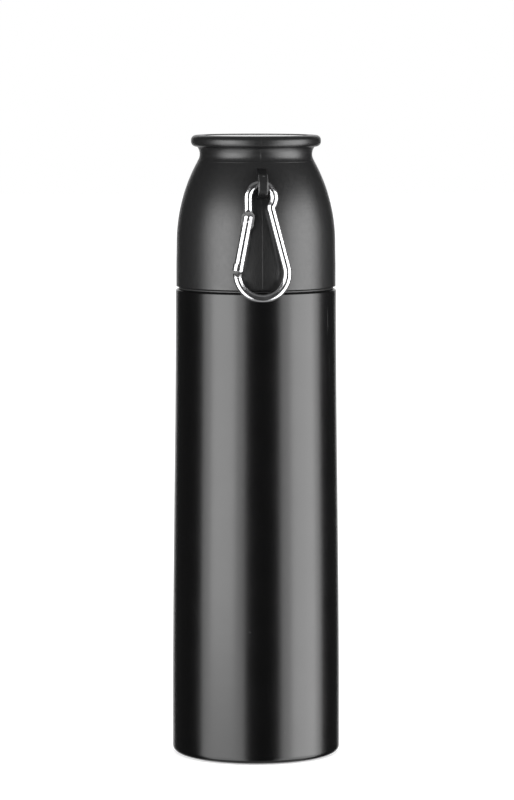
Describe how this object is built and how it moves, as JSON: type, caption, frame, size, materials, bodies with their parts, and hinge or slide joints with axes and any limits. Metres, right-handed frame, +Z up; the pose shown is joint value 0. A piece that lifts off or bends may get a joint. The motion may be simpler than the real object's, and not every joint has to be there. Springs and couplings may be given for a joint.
{
  "type": "vacuum_flask",
  "caption": "Black steel vacuum flask with pour-through stopper, domed cup lid with arch loop, and a pear-shaped carabiner hanging from the loop",
  "frame": {"origin": "centre of the foot pad's face, where the flask stands", "axes": "+Z up along the flask's axis, -Y towards the arch loop and carabiner, +X to the right seen from the loop side"},
  "size_m": [0.0704, 0.074, 0.2602],
  "materials": {
    "body_paint": "satin",
    "cap_plastic": "matte",
    "dark_plastic": "matte",
    "grey_plastic": "satin",
    "steel": "satin",
    "plate_metal": "satin",
    "polished_wire": "polished",
    "foil": "polished",
    "getter_metal": "matte",
    "braze": "matte",
    "dark_rubber": "matte",
    "clear_silicone": "satin",
    "foam": "matte"
  },
  "bodies": {
    "flask": {"outer_shell": "body_paint", "neck_collar": "dark_plastic", "inner_liner": "steel", "inner_base": "steel", "radiation_foil": "foil", "outer_base": "steel", "getter": "getter_metal", "getter_clip": "steel", "vacuum_seal_plug": "braze", "base_cover": "steel", "foot_pad": "dark_rubber"},
    "stopper_rise": {"stopper_gasket": "clear_silicone"},
    "stopper": {"stopper_body": "dark_plastic", "plug_foam": "foam", "plug_cap": "dark_plastic", "plug_seal": "clear_silicone", "button_guide": "dark_plastic", "button_spring": "steel"},
    "button": {"push_button": "grey_plastic", "valve_stem": "steel", "valve_disc": "dark_plastic", "valve_seal": "clear_silicone"},
    "cup_rise": {"cup_gasket": "clear_silicone"},
    "cup": {"cup_shell": "cap_plastic", "cup_liner": "grey_plastic", "top_plate": "plate_metal"},
    "carabiner": {"carabiner_frame": "polished_wire", "gate_hinge_pin": "polished_wire"},
    "gate": {"carabiner_gate": "polished_wire", "gate_plunger": "steel", "gate_spring": "steel"}
  },
  "joints": [
    {"name": "stopper_lift", "type": "slide", "parent": "flask", "child": "stopper_rise", "axis": [0, 0, 1], "range_m": [0, 0.048]},
    {"name": "stopper_turn", "type": "hinge", "parent": "stopper_rise", "child": "stopper", "pos_m": [0, 0, 0.205], "axis": [0, 0, 1], "range_deg": [0, 2160]},
    {"name": "button_press", "type": "slide", "parent": "stopper", "child": "button", "axis": [0, 0, 1], "range_m": [-0.004, 0], "stiffness_N_per_m": 800, "springref_m": 0.004, "deforming": ["button_spring"]},
    {"name": "cup_lift", "type": "slide", "parent": "stopper", "child": "cup_rise", "axis": [0, 0, 1], "range_m": [0, 0.048]},
    {"name": "cup_turn", "type": "hinge", "parent": "cup_rise", "child": "cup", "pos_m": [0, 0, 0.205], "axis": [0, 0, 1], "range_deg": [0, 2160]},
    {"name": "carabiner_swing", "type": "hinge", "parent": "cup", "child": "carabiner", "pos_m": [0, -0.0331, 0.2406], "axis": [-1, 0, 0], "range_deg": [0, 165]},
    {"name": "gate_pivot", "type": "hinge", "parent": "carabiner", "child": "gate", "pos_m": [-0.00634, -0.03435, 0.22565], "axis": [0, -0.9965, 0.0837], "range_deg": [0, 24], "stiffness_Nm_per_rad": 0.02, "springref_deg": -34.38}
  ],
  "couplings": [
    {"joint": "stopper_turn", "follows": "stopper_lift", "rad_per_m": 785.4},
    {"joint": "cup_turn", "follows": "cup_lift", "rad_per_m": 785.4}
  ]
}
